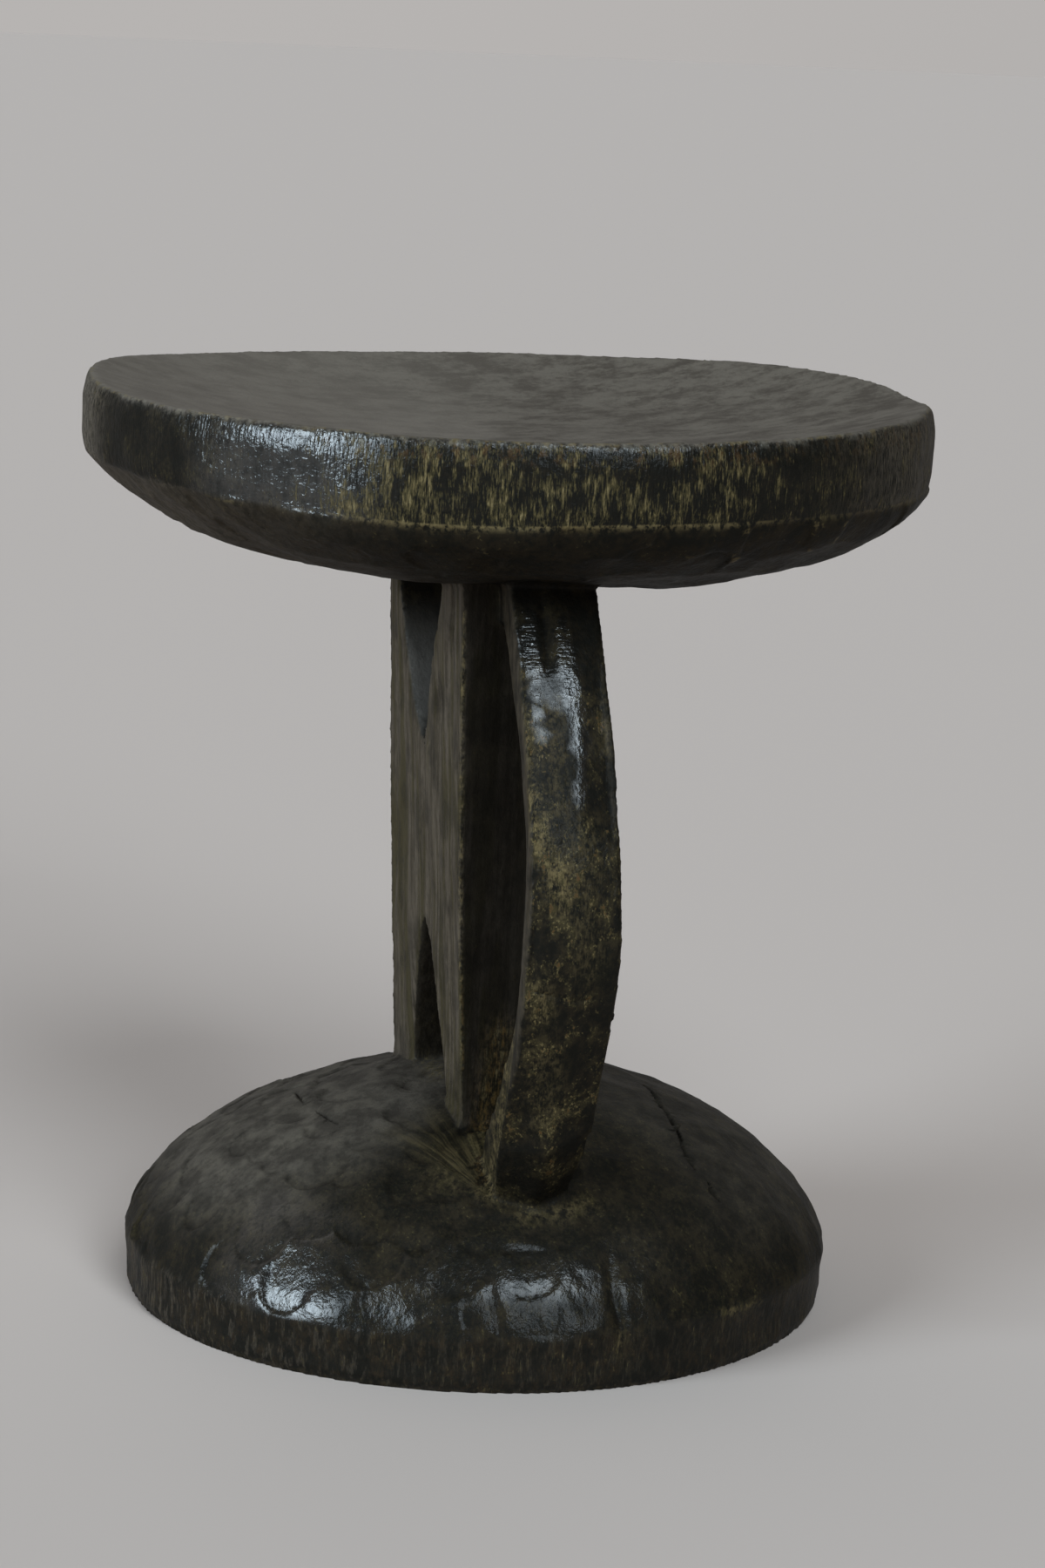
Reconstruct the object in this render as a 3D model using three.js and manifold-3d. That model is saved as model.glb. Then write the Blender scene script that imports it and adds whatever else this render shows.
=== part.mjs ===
// A carved wooden stool, cut from one block: a dished round seat on a bowl-shaped
// underside, a flat leg pierced by two pointed notches with a bowed bar beside it,
// and a domed round foot. Millimetres, +Z up, X along the flat of the leg towards
// the bowed bar, Y across it, origin at the middle of the underside.

import * as THREE from 'three';
import { mergeVertices } from 'three/addons/utils/BufferGeometryUtils.js';
import Module from 'manifold-3d';

// Seat
const SEAT_HEIGHT = 332.7;
const SEAT_RADIUS = 151.6;
const SEAT_EDGE_HEIGHT = 28.5;
const SEAT_EDGE_BULGE = 1;
const SEAT_EDGE_WIDEST = [0.2, 0.7];
const RIM_WIDTH = 5;
const RIM_FLAT = 2;
const RIM_ROUNDING = 0.5;
const RIM_ROUNDING_DROP = 1.5;
const DISH_LIP = 0.6;
const DISH_DEPTH = 17;
const DISH_FLATNESS = 2.4;
const BOWL_DEPTH = 37.7;
const BOWL_SIDE_POWER = 0.93;
const BOWL_DROP_POWER = 1.09;

// How far the hand-cut seat strays from a true round, and towards which side
const RIM_TILT = 2.2;
const RIM_TILT_TOWARDS = 136;
const SEAT_SADDLE = 1.6;
const SEAT_SADDLE_TOWARDS = 84;
const BOWL_LOPSIDE = 2.5;
const BOWL_LOPSIDE_TOWARDS = 54;
const BOWL_FRONT_RISE = { towards: -6, spread: 38, rise: 4.6 };
const BOWL_SHOULDER_RISE = { towards: -82, spread: 48, rise: 5.2 };
const BOWL_SHOULDER_SHARE = 0.6;
const BOWL_SHOULDER_POWER = 0.7;

// Stretches where the seat's rim or its lower edge stands high or low, in degrees round the seat
const RIM_STRETCHES = [
  { towards: -113, spread: 36, rise: 2.4 },
  { towards: 126, spread: 26, rise: 1.3 },
  { towards: 83, spread: 19, rise: -2.6 },
];
const LOWER_EDGE_STRETCHES = [
  { towards: -27, spread: 32, rise: -2.4 },
  { towards: -116, spread: 36, rise: 2.4 },
];
const EDGE_STRAY_POWER = 5;

// Foot
const FOOT_UNDERSIDE_RADIUS = 128;
const FOOT_RADIUS = 131;
const FOOT_EDGE_HEIGHT = 19;
const FOOT_EDGE_ROUNDING = [2, 3];
const FOOT_WAIST_HEIGHT = 10.5;
const FOOT_WAIST = 0.8;
const DOME_TOP = 82;
const DOME_SIDE_POWER = 1.02;
const DOME_RISE_POWER = 1.2;
const DOME_LOPSIDE = 1.5;
const DOME_LOPSIDE_TOWARDS = 44;

// Stretches where the foot's edge bulges out or falls short
const FOOT_EDGE_STRETCHES = [
  { towards: -68, spread: 50, rise: 1.6 },
  { towards: 42, spread: 45, rise: -1.4 },
];
const FOOT_STRETCH_TOP = 40;

// Flat panel of the leg, which leans a little as it rises
const PANEL_FAR_X = -43;
const PANEL_NEAR_X_AT_FOOT = 55;
const PANEL_NEAR_X_AT_SEAT = 66;
const PANEL_NEAR_POWER = 1.5;
const PANEL_RIGHT_Y = 10;
const PANEL_LEFT_Y_AT_FOOT = -21.8;
const PANEL_LEFT_Y_AT_SEAT = -32;
const PANEL_LEAN_POWER = 0.8;
const LEG_BOTTOM = 45;
const LEG_TOP = 285;

// Pointed notches in the panel, each from its point to the end that runs into the round
const TOP_NOTCH_POINT = [7, 206];
const TOP_NOTCH_HALF_WIDTH = 33;
const TOP_NOTCH_HEIGHT = 62;
const TOP_NOTCH_DRIFT = -4;
const TOP_NOTCH_POWER = 0.8;
const TOP_NOTCH_FLARE = 2;
const FOOT_NOTCH_POINT = [5, 141];
const FOOT_NOTCH_HALF_WIDTH = 24;
const FOOT_NOTCH_HEIGHT = 57;
const FOOT_NOTCH_DRIFT = 3;
const FOOT_NOTCH_POWER = 0.65;
const NOTCH_DRIFT_SHARE = 0.25;

// Bowed bar, thinnest at its belly, whose foot strays to the left and ends in a blunt point
const BAR_CENTRE_Y = -5.3;
const BAR_FOOT_STRAY = -1.3;
const BAR_BELLY_X = 130.5;
const BAR_BELLY_Z = 160;
const BAR_RISE = 39;
const BAR_HALF_LENGTH = 102;
const BAR_CURVE_POWER = 1.75;
const BAR_THICKNESS = 16;
const BAR_END_THICKENING = 13;
const BAR_THICKENING_POWER = 2.2;
const BAR_HALF_WIDTH_AT_FOOT = 16.8;
const BAR_HALF_WIDTH_AT_SEAT = 15.3;
const BAR_FOOT_NARROWING = 5;
const BAR_FOOT_NARROWING_SHARE = 0.14;
const BAR_BACK_NARROWING = 2.8;
const BAR_CROWN = 1.2;
const BAR_CROWN_AT_FOOT = 8;
const BAR_FOOT_CROWN_SHARE = 0.2;
const BAR_SUNK_INTO_ROUNDS = 8;

// Slow unevenness that the adze leaves on the rounds
const ROUND_UNEVENNESS = 0.9;
const RIM_UNEVENNESS = 0.5;
const UNEVENNESS_START_HEIGHT = 10;
const SWELL_WAVES = [
  { perTurn: 2, height: 0.55, phaseTimes: 1 },
  { perTurn: 3, height: 0.3, phaseTimes: -2 },
  { perTurn: 7, height: 0.25, phaseTimes: 3 },
];
const SEAT_PHASE = 0.6;
const RIM_PHASE = 2.3;
const FOOT_PHASE = 2.3;

// How finely the curves are cut
const ROUND_SEGMENTS = 80;
const ROUND_STEPS = 14;
const DISH_RINGS = 9;
const CURVE_STEPS = 9;
const BAR_STEPS = 24;

const clamp01 = (value) => Math.min(1, Math.max(0, value));
const radians = (degrees) => (degrees * Math.PI) / 180;
const seatEdgeBottom = SEAT_HEIGHT - SEAT_EDGE_HEIGHT;
const bowlBottom = seatEdgeBottom - BOWL_DEPTH;

// How far up the open part of the leg a height is, 0 on the dome and 1 at the seat
const legShare = (z) => (z - DOME_TOP) / (bowlBottom - DOME_TOP);

// A smooth wave round the stool, between about -1 and 1
function swell(angle, phase) {
  let total = 0;
  for (const { perTurn, height, phaseTimes } of SWELL_WAVES) {
    total += height * Math.sin(perTurn * angle + phaseTimes * phase);
  }
  return total;
}

// Quarter curve from a widest radius to a point on the axis
function quarterCurve(radius, startZ, rise, sidePower, risePower) {
  const points = [];
  for (let step = 0; step <= ROUND_STEPS; step += 1) {
    const turn = (step / ROUND_STEPS) * Math.PI * 0.5;
    const side = step === ROUND_STEPS ? 0 : Math.cos(turn) ** sidePower;
    points.push(new THREE.Vector2(radius * side, startZ + rise * Math.sin(turn) ** risePower));
  }
  return points;
}

function seatProfile() {
  const bowl = quarterCurve(SEAT_RADIUS, seatEdgeBottom, -BOWL_DEPTH, BOWL_SIDE_POWER, BOWL_DROP_POWER);
  const points = bowl.reverse();
  for (const share of SEAT_EDGE_WIDEST) {
    points.push(new THREE.Vector2(SEAT_RADIUS + SEAT_EDGE_BULGE, seatEdgeBottom + SEAT_EDGE_HEIGHT * share));
  }
  points.push(new THREE.Vector2(SEAT_RADIUS - RIM_ROUNDING, SEAT_HEIGHT - RIM_ROUNDING_DROP));
  points.push(new THREE.Vector2(SEAT_RADIUS - RIM_FLAT, SEAT_HEIGHT));
  const dishRadius = SEAT_RADIUS - RIM_WIDTH;
  for (let ring = 0; ring <= DISH_RINGS; ring += 1) {
    const share = 1 - ring / DISH_RINGS;
    const drop = DISH_DEPTH * (1 - share ** DISH_FLATNESS);
    points.push(new THREE.Vector2(dishRadius * share, SEAT_HEIGHT - DISH_LIP - drop));
  }
  return points;
}

function footProfile() {
  const points = [
    new THREE.Vector2(0, 0),
    new THREE.Vector2(FOOT_UNDERSIDE_RADIUS, 0),
    new THREE.Vector2(FOOT_UNDERSIDE_RADIUS + FOOT_EDGE_ROUNDING[0], FOOT_EDGE_ROUNDING[1]),
    new THREE.Vector2(FOOT_RADIUS - FOOT_WAIST, FOOT_WAIST_HEIGHT),
  ];
  const domeRise = DOME_TOP - FOOT_EDGE_HEIGHT;
  const dome = quarterCurve(FOOT_RADIUS, FOOT_EDGE_HEIGHT, domeRise, DOME_SIDE_POWER, DOME_RISE_POWER);
  return points.concat(dome);
}

// How far some stretches rise together at an angle, each strongest at its middle
function risesAt(stretches, angle) {
  let total = 0;
  for (const { towards, spread, rise } of stretches) {
    const turn = angle - radians(towards);
    const away = Math.abs(Math.atan2(Math.sin(turn), Math.cos(turn))) / radians(spread);
    total += away < 1 ? rise * Math.cos((away * Math.PI) / 2) ** 2 : 0;
  }
  return total;
}

// How much the uneven cutting moves a point of the seat
function seatStray(radius, angle, z) {
  const outward = radius / SEAT_RADIUS;
  const edgeShare = clamp01((z - seatEdgeBottom) / SEAT_EDGE_HEIGHT);
  const rimShare = edgeShare * outward;
  const tilt = RIM_TILT * Math.cos(angle - radians(RIM_TILT_TOWARDS));
  const uneven = RIM_UNEVENNESS * swell(angle, RIM_PHASE);
  const saddle = SEAT_SADDLE * outward * Math.cos(2 * (angle - radians(SEAT_SADDLE_TOWARDS)));
  const down = clamp01((seatEdgeBottom - z) / BOWL_DEPTH);
  const lopside = BOWL_LOPSIDE * down * down * outward * Math.cos(angle - radians(BOWL_LOPSIDE_TOWARDS));
  const shoulder = Math.sin(Math.PI * Math.min(1, down / BOWL_SHOULDER_SHARE) ** BOWL_SHOULDER_POWER);
  const bowlFront = down ** 2 * risesAt([BOWL_FRONT_RISE], angle);
  const bowlShoulder = shoulder * risesAt([BOWL_SHOULDER_RISE], angle);
  const rim = edgeShare * risesAt(RIM_STRETCHES, angle);
  const lowerEdge = (1 - edgeShare) * risesAt(LOWER_EDGE_STRETCHES, angle);
  const edge = (rim + lowerEdge) * outward ** EDGE_STRAY_POWER;
  const up = rimShare * (tilt + uneven) + saddle - lopside + bowlFront + bowlShoulder + edge;
  return { out: 0, up };
}

function footStray(radius, angle, z) {
  const onDome = clamp01((z - FOOT_EDGE_HEIGHT) / UNEVENNESS_START_HEIGHT);
  const midway = Math.sin(Math.PI * clamp01(radius / FOOT_RADIUS));
  const out = clamp01(1 - z / FOOT_STRETCH_TOP) * risesAt(FOOT_EDGE_STRETCHES, angle);
  const up = onDome * DOME_LOPSIDE * midway * Math.cos(angle - radians(DOME_LOPSIDE_TOWARDS));
  return { out, up };
}

// A round with the adze's slow unevenness; its lowest edge stays level and true
function hewnRound(profile, phase, stray) {
  const geometry = new THREE.LatheGeometry(profile, ROUND_SEGMENTS);
  geometry.rotateX(Math.PI / 2);
  const position = geometry.attributes.position;
  for (let index = 0; index < position.count; index += 1) {
    const x = position.getX(index);
    const y = position.getY(index);
    const z = position.getZ(index);
    const radius = Math.hypot(x, y);
    if (radius > 1) {
      const angle = Math.atan2(y, x);
      const above = clamp01(z / UNEVENNESS_START_HEIGHT);
      const { out, up } = stray(radius, angle, z);
      const scale = 1 + (ROUND_UNEVENNESS * above * swell(angle, phase)) / SEAT_RADIUS + out / FOOT_RADIUS;
      position.setXYZ(index, x * scale, y * scale, z + up);
    }
  }
  return geometry;
}

// One side of a notch, from its point outwards; side is -1 or 1, upwards is -1 or 1
function notchSide(notch, side, upwards) {
  const points = [];
  for (let step = 0; step <= CURVE_STEPS; step += 1) {
    const share = step / CURVE_STEPS;
    const drift = notch.drift * Math.min(1, share / NOTCH_DRIFT_SHARE);
    const width = notch.halfWidth * share ** notch.power;
    points.push([notch.point[0] + drift + side * width, notch.point[1] + upwards * notch.height * share]);
  }
  return points;
}

// The panel's near edge, which draws back from the bar towards the foot
function panelNearEdge() {
  const points = [];
  for (let step = 0; step <= CURVE_STEPS; step += 1) {
    const z = LEG_BOTTOM + ((LEG_TOP - LEG_BOTTOM) * step) / CURVE_STEPS;
    const forward = clamp01(legShare(z)) ** PANEL_NEAR_POWER;
    points.push([PANEL_NEAR_X_AT_FOOT + (PANEL_NEAR_X_AT_SEAT - PANEL_NEAR_X_AT_FOOT) * forward, z]);
  }
  return points;
}

// The panel as one outline in x and z, with both notches open at their ends
function panelShape() {
  const foot = {
    point: FOOT_NOTCH_POINT,
    halfWidth: FOOT_NOTCH_HALF_WIDTH,
    height: FOOT_NOTCH_HEIGHT,
    drift: FOOT_NOTCH_DRIFT,
    power: FOOT_NOTCH_POWER,
  };
  const top = {
    point: TOP_NOTCH_POINT,
    halfWidth: TOP_NOTCH_HALF_WIDTH,
    height: TOP_NOTCH_HEIGHT,
    drift: TOP_NOTCH_DRIFT,
    power: TOP_NOTCH_POWER,
  };
  const footFar = notchSide(foot, -1, -1);
  const footNear = notchSide(foot, 1, -1);
  const topFar = notchSide(top, -1, 1);
  const topNear = notchSide(top, 1, 1);
  const outline = [
    [PANEL_FAR_X, LEG_BOTTOM],
    [footFar[CURVE_STEPS][0], LEG_BOTTOM],
    ...footFar.slice(1).reverse(),
    FOOT_NOTCH_POINT,
    ...footNear.slice(1),
    [footNear[CURVE_STEPS][0], LEG_BOTTOM],
    ...panelNearEdge(),
    [topNear[CURVE_STEPS][0] + TOP_NOTCH_FLARE, LEG_TOP],
    ...topNear.slice(1).reverse(),
    TOP_NOTCH_POINT,
    ...topFar.slice(1),
    [topFar[CURVE_STEPS][0] - TOP_NOTCH_FLARE, LEG_TOP],
    [PANEL_FAR_X, LEG_TOP],
  ];
  return new THREE.Shape(outline.map(([x, z]) => new THREE.Vector2(x, z)));
}

const barShare = (z) => Math.abs(z - BAR_BELLY_Z) / BAR_HALF_LENGTH;
const barFront = (z) => BAR_BELLY_X - BAR_RISE * barShare(z) ** BAR_CURVE_POWER;
const barDepth = (z) => BAR_THICKNESS + BAR_END_THICKENING * barShare(z) ** BAR_THICKENING_POWER;

function barShape() {
  const bottom = LEG_BOTTOM + BAR_SUNK_INTO_ROUNDS;
  const top = LEG_TOP - BAR_SUNK_INTO_ROUNDS;
  const front = [];
  const back = [];
  for (let step = 0; step <= BAR_STEPS; step += 1) {
    const z = bottom + ((top - bottom) * step) / BAR_STEPS;
    front.push(new THREE.Vector2(barFront(z), z));
    back.push(new THREE.Vector2(barFront(z) - barDepth(z), z));
  }
  return new THREE.Shape(front.concat(back.reverse()));
}

// Extrudes an outline drawn in x and z across Y, then lets place(x, z, side) say where each
// point goes; side runs from -1 on the left face to 1 on the right
function slab(shape, steps, place) {
  const fullWidth = 2;
  const geometry = new THREE.ExtrudeGeometry(shape, { depth: fullWidth, bevelEnabled: false, steps });
  geometry.rotateX(Math.PI / 2);
  const position = geometry.attributes.position;
  for (let index = 0; index < position.count; index += 1) {
    const side = position.getY(index) + fullWidth / 2;
    const [x, y, z] = place(position.getX(index), position.getZ(index), side);
    position.setXYZ(index, x, y, z);
  }
  return geometry;
}

function placePanel(x, z, side) {
  const lean = Math.max(0, legShare(z)) ** PANEL_LEAN_POWER;
  const left = PANEL_LEFT_Y_AT_FOOT + (PANEL_LEFT_Y_AT_SEAT - PANEL_LEFT_Y_AT_FOOT) * lean;
  return [x, side < 0 ? left : PANEL_RIGHT_Y, z];
}

function placeBar(x, z, side) {
  const intoFoot = clamp01(-legShare(z) / BAR_FOOT_NARROWING_SHARE);
  const aboveFoot = clamp01(legShare(z));
  const growth = BAR_HALF_WIDTH_AT_SEAT - BAR_HALF_WIDTH_AT_FOOT;
  const frontHalfWidth = BAR_HALF_WIDTH_AT_FOOT + growth * aboveFoot - BAR_FOOT_NARROWING * intoFoot ** 2;
  const isBack = x < barFront(z) - BAR_THICKNESS / 2;
  const halfWidth = isBack ? frontHalfWidth - BAR_BACK_NARROWING : frontHalfWidth;
  const isMiddle = Math.abs(side) < 0.5;
  const footCrown = BAR_CROWN_AT_FOOT * clamp01(1 - legShare(z) / BAR_FOOT_CROWN_SHARE) ** 2;
  const crown = isMiddle && !isBack ? Math.max(BAR_CROWN, footCrown) : 0;
  const stray = BAR_FOOT_STRAY * (1 - aboveFoot) ** 3;
  return [x + crown, BAR_CENTRE_Y + stray + side * halfWidth, z];
}

const wasm = await Module();
wasm.setup();

function toSolid(geometry) {
  const bare = geometry.clone();
  bare.deleteAttribute('normal');
  bare.deleteAttribute('uv');
  const merged = mergeVertices(bare, 1e-3);
  const source = merged.index.array;
  const corners = [];
  for (let index = 0; index < source.length; index += 3) {
    const [a, b, c] = [source[index], source[index + 1], source[index + 2]];
    if (a !== b && b !== c && a !== c) {
      corners.push(a, b, c);
    }
  }
  const mesh = new wasm.Mesh({
    numProp: 3,
    vertProperties: new Float32Array(merged.attributes.position.array),
    triVerts: new Uint32Array(corners),
  });
  return new wasm.Manifold(mesh);
}

function toGeometry(solid) {
  const mesh = solid.getMesh();
  const geometry = new THREE.BufferGeometry();
  geometry.setAttribute('position', new THREE.BufferAttribute(new Float32Array(mesh.vertProperties), 3));
  geometry.setIndex(new THREE.BufferAttribute(new Uint32Array(mesh.triVerts), 1));
  geometry.computeVertexNormals();
  return geometry;
}

const seat = toSolid(hewnRound(seatProfile(), SEAT_PHASE, seatStray));
const foot = toSolid(hewnRound(footProfile(), FOOT_PHASE, footStray));
const panel = toSolid(slab(panelShape(), 1, placePanel));
const bar = toSolid(slab(barShape(), 2, placeBar));
const carved = seat.add(foot).add(panel).add(bar);

const wood = new THREE.MeshStandardMaterial({ color: 0x2e2820, roughness: 0.42, metalness: 0 });
const stool = new THREE.Mesh(toGeometry(carved), wood);
stool.name = 'stool';

const group = new THREE.Group();
group.add(stool);
export default group;
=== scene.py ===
"""Looks for the carved tonga stool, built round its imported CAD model.

The CAD solid is remeshed finely, then cut in mesh code with what the adze, the wood and long use
left on it: flat cuts, chips, drying cracks, grooves and nicks. One procedural wood material
follows, driven by where a point lies on the stool and by how its surface bends.
Lengths are in millimetres in the CAD frame, apart from heights in the wood's nodes and places
given to Blender, which are in metres.
"""
from functools import partial, reduce
from itertools import product
from math import atan2, cos, pi, radians, sin
from types import SimpleNamespace

import bmesh
import bpy
import numpy as np
from mathutils import Euler, Matrix, Vector


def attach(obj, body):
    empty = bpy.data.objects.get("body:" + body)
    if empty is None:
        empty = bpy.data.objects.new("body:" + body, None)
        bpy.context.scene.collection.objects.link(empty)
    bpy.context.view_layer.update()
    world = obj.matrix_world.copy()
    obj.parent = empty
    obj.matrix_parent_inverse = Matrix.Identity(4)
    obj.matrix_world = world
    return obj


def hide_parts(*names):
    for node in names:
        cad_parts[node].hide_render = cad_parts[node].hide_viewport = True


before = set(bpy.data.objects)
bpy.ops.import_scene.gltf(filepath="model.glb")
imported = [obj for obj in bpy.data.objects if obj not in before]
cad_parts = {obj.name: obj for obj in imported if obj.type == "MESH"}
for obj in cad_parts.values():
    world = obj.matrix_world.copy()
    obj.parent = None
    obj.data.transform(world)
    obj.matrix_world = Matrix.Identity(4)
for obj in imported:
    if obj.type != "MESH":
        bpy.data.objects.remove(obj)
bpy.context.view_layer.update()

MM = 0.001

# The leg's leading sizes, as the CAD model has them
PANEL_FAR_X = -43.0
PANEL_NEAR_X_AT_FOOT = 55.0
PANEL_NEAR_X_AT_SEAT = 66.0
PANEL_NEAR_POWER = 1.5
PANEL_RIGHT_Y = 10.0
PANEL_LEFT_Y_AT_FOOT = -21.8
PANEL_LEFT_Y_AT_SEAT = -32.0
PANEL_LEAN_POWER = 0.8
DOME_TOP = 82.0
BOWL_BOTTOM = 266.5
SEAT_EDGE_BOTTOM = 304.2
SEAT_HEIGHT = 332.7
SEAT_RADIUS = 151.6
SEAT_SADDLE = 1.6
SEAT_SADDLE_TOWARDS = 84.0
# Stretches where the seat's lower edge stands high or low: degrees round it, reach, rise
LOWER_EDGE_STRETCHES = ((-27, 32, -2.4), (-116, 36, 2.4))
FOOT_RADIUS = 131.0
FOOT_EDGE_HEIGHT = 19.0
BAR_CENTRE_Y = -5.3
BAR_BELLY_X = 130.5
BAR_BELLY_Z = 160.0
BAR_RISE = 39.0
BAR_HALF_LENGTH = 102.0
BAR_CURVE_POWER = 1.75

# How finely the stool is remeshed, and how its grid is turned so that no long edge runs along it
FINE_STEP = 1.25
REMESH_TURN = Euler((0.42, 0.31, 0.55)).to_matrix().to_4x4()
FEWER_FACES = 0.23
SOFTEN_ROUNDS = 2
# How many points are worked on at once
CHUNK = 20000
# How far from its middle a cut reaches, how wide a chip's crisp end is, and a flat cut's reach
CUT_REACH = 45.0
CHIP_EDGE = 1.6
FLAT_REACH = 40.0
DEEPEST_FLAT = 4.0
# Wood put back over the cut rounds and leg so that the cuts lie about the CAD surface
LEFT_ON = 0.6
# How deep the wood's unevenness and the upright edges' fibres go, and how high the flares stand
UNEVEN_DEPTH = 0.18
FIBRE_DEPTH = 0.08
FLARE_HEIGHT = 0.55
UNDERSIDE_HOLLOW = 0.9
# How near a crack its faces are split, once and then again
CRACK_SPLITS = (3.2, 2.2)


# Numbers over many points


def ramp(value, low, high):
    """A smooth rise from 0 at low to 1 at high; high may be the smaller one."""
    share = np.clip((value - low) / (high - low), 0, 1)
    return share * share * (3.0 - 2.0 * share)


def lattice(x, y, z, seed):
    """A repeatable number from -1 to 1 for each whole-number place."""
    mixed = (x * 374761393 + y * 668265263 + z * 1442695041 + seed * 1274126177) & 0xFFFFFFFF
    mixed = ((mixed ^ (mixed >> 13)) * 1103515245) & 0xFFFFFFFF
    mixed = mixed ^ (mixed >> 16)
    return mixed / 2147483647.5 - 1.0


def noise(points, size, seed):
    """Smooth noise from -1 to 1 whose bumps are about size across; size may differ by axis."""
    scaled = points / np.asarray(size, float)
    corner = np.floor(scaled).astype(np.int64)
    part = scaled - corner
    part = part * part * (3.0 - 2.0 * part)
    total = np.zeros(len(points))
    for step in product((0, 1), repeat=3):
        weight = np.abs(1 - np.array(step) - part).prod(axis=1)
        total += weight * lattice(*(corner + step).T, seed)
    return total


def rough_noise(points, size, seed, layers=3):
    """Noise with finer layers on top, each half as big and half as strong."""
    size = np.asarray(size, float)
    total = np.zeros(len(points))
    for layer in range(layers):
        total += noise(points, size / 2**layer, seed + layer) / 2**layer
    return total / (2.0 - 0.5 ** (layers - 1))


def near_route(points, route):
    """Each point's distance to a line through the route's points, and how far along it lies."""
    route = np.asarray(route, float)
    steps = np.linalg.norm(np.diff(route, axis=0), axis=1)
    travelled = np.concatenate([[0.0], np.cumsum(steps)])
    nearest = np.full(len(points), 1e9)
    along = np.zeros(len(points))
    for start, end, length, before in zip(route[:-1], route[1:], steps, travelled):
        line = (end - start) / length
        reach = np.clip((points - start) @ line, 0, length)
        gap = np.linalg.norm(points - start - reach[:, None] * line, axis=1)
        closer = gap < nearest
        nearest[closer] = gap[closer]
        along[closer] = (before + reach[closer]) / travelled[-1]
    return nearest, along


# Mesh data in and out


def read_rows(items, name, width, kind=np.float32):
    flat = np.empty(len(items) * width, kind)
    items.foreach_get(name, flat)
    return flat.reshape(-1, width)


def read_points(mesh):
    """The mesh's points, one row each, in millimetres."""
    return read_rows(mesh.vertices, "co", 3).astype(float) / MM


def write_points(mesh, points):
    mesh.vertices.foreach_set("co", (points * MM).astype(np.float32).ravel())
    mesh.update()


def read_normals(mesh):
    return read_rows(mesh.vertex_normals, "vector", 3).astype(float)


def read_edges(mesh):
    return read_rows(mesh.edges, "vertices", 2, np.int32)


def neighbour_mean(values, edges):
    """The mean of each vertex's neighbours, for one number or several a vertex."""
    count = np.bincount(edges.ravel(), minlength=len(values)).astype(float)
    columns = values.reshape(len(values), -1)
    mean = np.empty_like(columns)
    for column in range(columns.shape[1]):
        total = np.bincount(edges[:, 0], columns[edges[:, 1], column], len(values))
        total += np.bincount(edges[:, 1], columns[edges[:, 0], column], len(values))
        mean[:, column] = total / np.maximum(count, 1)
    return mean.reshape(values.shape)


def soften(values, edges, rounds, share=0.6):
    for _ in range(rounds):
        values = values + share * (neighbour_mean(values, edges) - values)
    return values


def with_modifier(obj, kind, **settings):
    """Applies one new modifier to the object's own mesh."""
    modifier = obj.modifiers.new(kind.lower(), kind)
    for name, value in settings.items():
        setattr(modifier, name, value)
    bpy.context.view_layer.update()
    graph = bpy.context.evaluated_depsgraph_get()
    mesh = bpy.data.meshes.new_from_object(obj.evaluated_get(graph))
    obj.modifiers.clear()
    old = obj.data
    obj.data = mesh
    bpy.data.meshes.remove(old)


# Where a point lies on the stool


def leg_share(z):
    return np.clip((z - DOME_TOP) / (BOWL_BOTTOM - DOME_TOP), 0, 1)


def panel_left_y(z):
    lean = leg_share(z) ** PANEL_LEAN_POWER
    return PANEL_LEFT_Y_AT_FOOT + (PANEL_LEFT_Y_AT_SEAT - PANEL_LEFT_Y_AT_FOOT) * lean


def panel_near_x(z):
    forward = leg_share(z) ** PANEL_NEAR_POWER
    return PANEL_NEAR_X_AT_FOOT + (PANEL_NEAR_X_AT_SEAT - PANEL_NEAR_X_AT_FOOT) * forward


def seat_lower_edge(angle):
    """The height of the seat's lower edge at an angle round it, in degrees."""
    height = SEAT_EDGE_BOTTOM + SEAT_SADDLE * np.cos(2 * np.radians(angle - SEAT_SADDLE_TOWARDS))
    for towards, reach, rise in LOWER_EDGE_STRETCHES:
        away = np.clip(turn_between(angle, towards) / reach, 0, 1)
        height = height + rise * np.cos(away * np.pi / 2) ** 2
    return height


def turn_between(angle, towards):
    return np.abs((angle - towards + 180) % 360 - 180)


def angle_round(points):
    return np.degrees(np.arctan2(points[:, 1], points[:, 0]))


def bar_front_x(z):
    return BAR_BELLY_X - BAR_RISE * (np.abs(z - BAR_BELLY_Z) / BAR_HALF_LENGTH) ** BAR_CURVE_POWER


def find_leg(points, normals):
    """How far each point belongs to the panel or the bar, from 0 to 1."""
    x, y, z = points.T
    steepness = np.abs(normals[:, 2])
    near = panel_near_x(z)
    in_height = ramp(z, 52, 62) * ramp(z, 300, 290)
    in_panel = (
        ramp(x, PANEL_FAR_X - 3.5, PANEL_FAR_X - 1)
        * ramp(x, near + 3.5, near + 1)
        * ramp(y, panel_left_y(z) - 3.5, panel_left_y(z) - 1)
        * ramp(y, PANEL_RIGHT_Y + 3.5, PANEL_RIGHT_Y + 1)
    )
    front = bar_front_x(z)
    in_bar = (
        ramp(x, near - 1, near + 1)
        * ramp(x, front + 12, front + 9)
        * ramp(np.abs(y - BAR_CENTRE_Y), 22, 19.5)
    )
    leg = in_panel * ramp(steepness, 0.8, 0.6) + in_bar * ramp(steepness, 0.93, 0.85)
    return np.clip(leg, 0, 1) * in_height


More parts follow.
